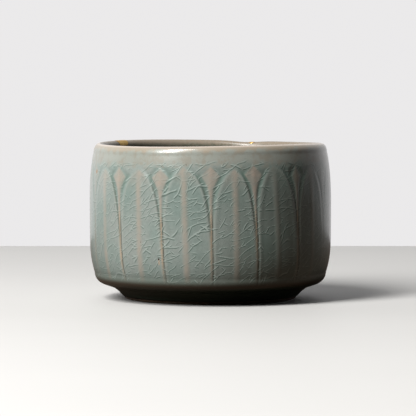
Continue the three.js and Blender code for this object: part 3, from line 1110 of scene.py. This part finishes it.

# %% Lay the band, the painted shade round the right, and the green pooled below it
band = ramp(tree, rough_level, 65.0, 70.0)
colour = mixed(tree, band, body["Colour"], BAND_GREY)
colour = mixed(tree, times(band, ramp(tree, patches, 0.43, 0.62), 0.85), colour, BAND_BEIGE)
before_the_back = ramp(tree, where["Along"], 95.0, 150.0, 1.0, 0.0)
painted_shade_round_right = times(ramp(tree, where["Along"], -10.0, 20.0), before_the_back)
below_band = maths(tree, "SUBTRACT", 1.0, band)
# Painted shade: below the band the glaze is made greener and a little darker round the right, for a room
# that darkens on that side.
colour = mixed(tree, times(painted_shade_round_right, below_band, 0.38), colour, DEEP_GREEN)
colour = mixed(tree, times(pooled_and_shaded, 0.95), colour, DEEP_GREEN)
print("so far:", len(tree.nodes), "nodes")

# %% Lay the creams of the thin glaze, and the dark of the cuts
faint = maths(tree, "MULTIPLY_ADD", spot(tree, where, 38, 40, 15, 90), -0.55, 1.0)
colour = mixed(tree, times(rib, uneven, faint, 0.62), colour, RIB_CREAM)
colour = mixed(tree, times(head, uneven, 0.78), colour, HEAD_CREAM)
colour = mixed(tree, times(edge, 0.6), colour, PALE_EDGE)
colour = mixed(tree, times(stem, uneven, 0.75), colour, AMBER)
# Painted shade: the knife lines are real cuts, and their near-black is shade in the cut, also up each
# petal's right edge.
colour = mixed(tree, times(knife, 0.95), colour, SHADED_KNIFE_DARK)
colour = mixed(tree, ramp(tree, rough_level, 73.3, 75.0, 0.0, 0.8), colour, UNDER_LIP)
colour = mixed(tree, ramp(tree, level, 72.9, 73.6), colour, CREST_CREAM)
print("so far:", len(tree.nodes), "nodes")

# %% Darken the heel and the foot with painted shade
# Painted shade: round the right the lower wall is also darkened towards the bottom.
painted_shade_low_right = times(ramp(tree, level, 38.0, 18.0), painted_shade_round_right, 0.42)
colour = mixed(tree, painted_shade_low_right, colour, PAINTED_SHADE_GREY)
# Painted shade: towards the bottom, where the wall turns under the heel and down to the foot, the glaze is
# darkened to grey, then brown, then a very dark green.
colour = mixed(tree, ramp(tree, level, 16.5, 8.5), colour, PAINTED_SHADE_GREY)
colour = mixed(tree, ramp(tree, level, 11.2, 9.0), colour, SHADED_HEEL_BROWN)
colour = mixed(tree, ramp(tree, level, 9.2, 7.4), colour, SHADED_FOOT_GREEN)
print("so far:", len(tree.nodes), "nodes")

# %% Draw the cracks and the spots
thin_glaze = maths(tree, "MAXIMUM", rib, maths(tree, "MAXIMUM", head, stem))
covered = maths(tree, "MULTIPLY_ADD", thin_glaze, -0.9, 1.0)
towards_right = ramp(tree, where["Along"], -50.0, -12.0, 0.55, 1.0)
round_right = ramp(tree, where["Along"], 28.0, 50.0, 1.0, 0.45)
shown_cracks = times(covered, ramp(tree, rough_level, 69.5, 67.0), ramp(tree, level, 10.0, 13.0))
shown_cracks = times(shown_cracks, towards_right, round_right)
crack_highlight_line = times(cracks["Light"], shown_cracks)
crack_shadow_line = times(cracks["Dark"], shown_cracks)
# Painted highlight and painted shadow of the cracks: a light line, and a dark line just under it.
colour = mixed(tree, times(crack_highlight_line, 0.65), colour, CRACK_PAINTED_HIGHLIGHT)
colour = mixed(tree, times(crack_shadow_line, 0.8), colour, CRACK_PAINTED_SHADOW)
iron_speck = spot(tree, where, -24.5, 22.0, 0.5, 0.55)
amber_tail = spot(tree, where, -24.4, 20.6, 0.6, 1.6)
rust_spot = spot(tree, where, -69.5, 61.0, 0.9, 1.1)
colour = mixed(tree, times(amber_tail, 0.5), colour, AMBER)
colour = mixed(tree, times(rust_spot, 0.85), colour, RUST)
colour = mixed(tree, maths(tree, "MAXIMUM", iron_speck, body["Specks"]), colour, IRON)
print("so far:", len(tree.nodes), "nodes")

# %% Give the outer glaze its bumps and its gloss
height = maths(tree, "SUBTRACT", crack_highlight_line, crack_shadow_line)
height = maths(tree, "ADD", height, times(body["Mottle"], 0.35))
bumps = new_tree_node(
    tree, "ShaderNodeBump", {"Strength": 0.35, "Distance": 0.08 * MM, "Height": height}
).outputs[0]
roughness = ramp(tree, body["Mottle"], 0.3, 0.7, 0.30, 0.40)
shader = new_tree_node(
    tree, "ShaderNodeBsdfPrincipled",
    {
        "Base Color": colour, "Roughness": roughness, "IOR": 1.45, "Normal": bumps,
        "Coat Weight": 0.6, "Coat Roughness": 0.15, "Coat IOR": 1.5,
    },
)
tree.links.new(shader.outputs[0], output.inputs["Surface"])
outer_coat.data.materials.clear()
outer_coat.data.materials.append(outside_glaze)
print("material:", outside_glaze.name, "with", len(tree.nodes), "nodes")

# %% [markdown]
# ## The inner glaze and the glazed base
#
# The inside and the base have the same glaze, but little light reaches them, so they get darker,
# more olive colours of their own: painted shade. It shares the glaze body group with these two
# colours, and has the closed crackle net.

# %% Write the inner glaze
SHADED_OLIVE_GREEN = (0.112, 0.120, 0.088)
SHADED_OLIVE_GREY = (0.145, 0.148, 0.112)
LIP_BROWN = (0.275, 0.228, 0.175)
NET_LIGHT = (0.27, 0.285, 0.235)
inside_glaze, tree, output = empty_material("celadon_inside")
where = place_group(tree, wrapping).outputs
body = place_group(
    tree, glaze_body, {"Solid": where["Solid"], "Green": (*SHADED_OLIVE_GREEN, 1), "Grey": (*SHADED_OLIVE_GREY, 1)}
).outputs
lines = place_group(tree, net, {"Solid": where["Solid"]}).outputs["Lines"]
level = own_mask(tree, "level")
near_lip = ramp(tree, maths(tree, "MULTIPLY_ADD", body["Mottle"], 3.0, level), 71.5, 74.5)
colour = mixed(tree, near_lip, body["Colour"], LIP_BROWN)
colour = mixed(tree, times(lines, 0.3), colour, NET_LIGHT)
colour = mixed(tree, body["Specks"], colour, IRON)
bumps = new_tree_node(
    tree, "ShaderNodeBump", {"Strength": 0.25, "Distance": 0.06 * MM, "Height": lines}
).outputs[0]
roughness = ramp(tree, body["Mottle"], 0.3, 0.7, 0.30, 0.42)
shader = new_tree_node(
    tree, "ShaderNodeBsdfPrincipled",
    {
        "Base Color": colour, "Roughness": roughness, "IOR": 1.45, "Normal": bumps,
        "Coat Weight": 0.25, "Coat Roughness": 0.2, "Coat IOR": 1.5,
    },
)
tree.links.new(shader.outputs[0], output.inputs["Surface"])
for piece in (inner_coat, base):
    piece.data.materials.clear()
    piece.data.materials.append(inside_glaze)
print("material:", inside_glaze.name, "with", len(tree.nodes), "nodes")

# %% [markdown]
# ## Bare stoneware
#
# Iron-bearing stoneware fires rough and brown where it has no glaze. Coarse noise varies the colour
# and the roughness together, and small dark grits from Voronoi cells stand a little proud.

# %% Write the bare clay
clay_finish, tree, output = empty_material("bare_stoneware")
where = place_group(tree, wrapping).outputs
coarse = new_tree_node(
    tree, "ShaderNodeTexNoise", {"Vector": where["Solid"], "Scale": 0.35, "Detail": 6.0, "Roughness": 0.65}
).outputs["Fac"]
grit = new_tree_node(
    tree, "ShaderNodeTexVoronoi", {"Vector": where["Solid"], "Scale": 2.2}, feature="F1"
).outputs["Distance"]
colour = mixed(tree, ramp(tree, coarse, 0.3, 0.7), (0.105, 0.075, 0.052), (0.190, 0.130, 0.085))
colour = mixed(tree, ramp(tree, grit, 0.05, 0.16, 0.7, 0.0), colour, (0.040, 0.030, 0.024))
height = maths(tree, "ADD", coarse, maths(tree, "MULTIPLY", grit, 0.5))
bumps = new_tree_node(
    tree, "ShaderNodeBump", {"Strength": 0.6, "Distance": 0.25 * MM, "Height": height}
).outputs[0]
shader = new_tree_node(
    tree, "ShaderNodeBsdfPrincipled",
    {"Base Color": colour, "Roughness": ramp(tree, coarse, 0.2, 0.8, 0.7, 0.92), "Normal": bumps},
)
tree.links.new(shader.outputs[0], output.inputs["Surface"])
for piece in (foot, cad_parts["clay_body"]):
    piece.data.materials.clear()
    piece.data.materials.append(clay_finish)
print("material:", clay_finish.name, "with", len(tree.nodes), "nodes")

# %% [markdown]
# ## Gold over lacquer
#
# Gold powder dusted on lacquer is satin, not mirror bright, and rubs off along a fill's edge, where
# the red-brown lacquer shows. The patch's own rim attribute says where that edge is.

# %% Write the gold
gold_finish, tree, output = empty_material("gold_lacquer")
where = place_group(tree, wrapping).outputs
rim = own_mask(tree, "rim")
dust = new_tree_node(
    tree, "ShaderNodeTexNoise", {"Vector": where["Solid"], "Scale": 1.6, "Detail": 6.0, "Roughness": 0.7}
).outputs["Fac"]
gold = mixed(tree, ramp(tree, dust, 0.3, 0.7), (0.620, 0.385, 0.115), (0.860, 0.600, 0.240))
worn = ramp(tree, maths(tree, "ADD", rim, maths(tree, "MULTIPLY", dust, 0.2)), 0.98, 1.12)
colour = mixed(tree, worn, gold, (0.160, 0.050, 0.025))
bumps = new_tree_node(
    tree, "ShaderNodeBump", {"Strength": 0.5, "Distance": 0.06 * MM, "Height": dust}
).outputs[0]
shader = new_tree_node(
    tree, "ShaderNodeBsdfPrincipled",
    {
        "Base Color": colour,
        "Metallic": ramp(tree, worn, 0.0, 1.0, 0.85, 0.0),
        "Roughness": ramp(tree, dust, 0.3, 0.7, 0.32, 0.5),
        "Normal": bumps,
    },
)
tree.links.new(shader.outputs[0], output.inputs["Surface"])
for piece in (gold_left, gold_back):
    piece.data.materials.clear()
    piece.data.materials.append(gold_finish)
print("material:", gold_finish.name, "with", len(tree.nodes), "nodes")

# %% [markdown]
# ## Putting the pieces in place of the frame's
#
# Each fine piece rides on the pot's one body and replaces its faceted node, which is hidden.

# %% Finish
for piece, node, slot in (
    (outer_coat, "outer_glaze", "celadon_outside"),
    (inner_coat, "inner_glaze", "celadon_inside"),
    (foot, "foot_ring", "stoneware"),
    (base, "base_glaze", "celadon_inside"),
    (gold_left, "gold_fill_left", "gold_lacquer"),
    (gold_back, "gold_fill_back", "gold_lacquer"),
):
    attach(piece, "root")
    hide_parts(node)
